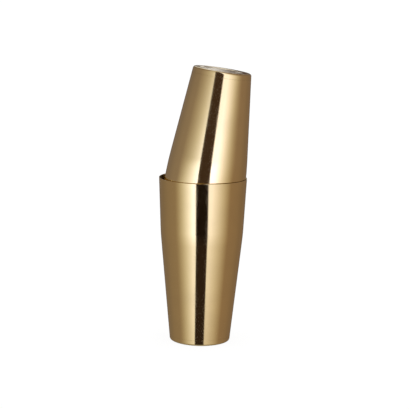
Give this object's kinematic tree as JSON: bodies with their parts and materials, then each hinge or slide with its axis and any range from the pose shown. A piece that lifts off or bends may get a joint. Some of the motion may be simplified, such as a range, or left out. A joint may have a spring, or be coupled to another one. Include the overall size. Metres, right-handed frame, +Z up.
{
  "type": "cocktail shaker",
  "caption": "Gold metal cocktail shaker: a small tapered tin sits upside down in the mouth of a taller mixing tin, cocked to one side.",
  "frame": {"origin": "centre of the large tin's underside, in the plane it stands on", "axes": "+Z up along the large tin's axis; +X the way the small tin leans"},
  "size_m": [0.0936, 0.092, 0.2904],
  "materials": {
    "gold_steel": "polished gold-coloured coating on stainless steel",
    "plain_steel": "plain turned steel"
  },
  "bodies": {
    "large_tin": {"large_tin_body": "gold_steel", "large_tin_base_weight": "plain_steel", "large_tin_base_cap": "gold_steel"},
    "small_tin": {"small_tin_body": "gold_steel", "small_tin_base_weight": "plain_steel", "small_tin_base_cap": "gold_steel"}
  },
  "joints": [
    {"name": "small_tin_lift", "type": "slide", "parent": "large_tin", "child": "small_tin", "axis": [0, 0, 1], "range_m": [0, 0.1]}
  ]
}
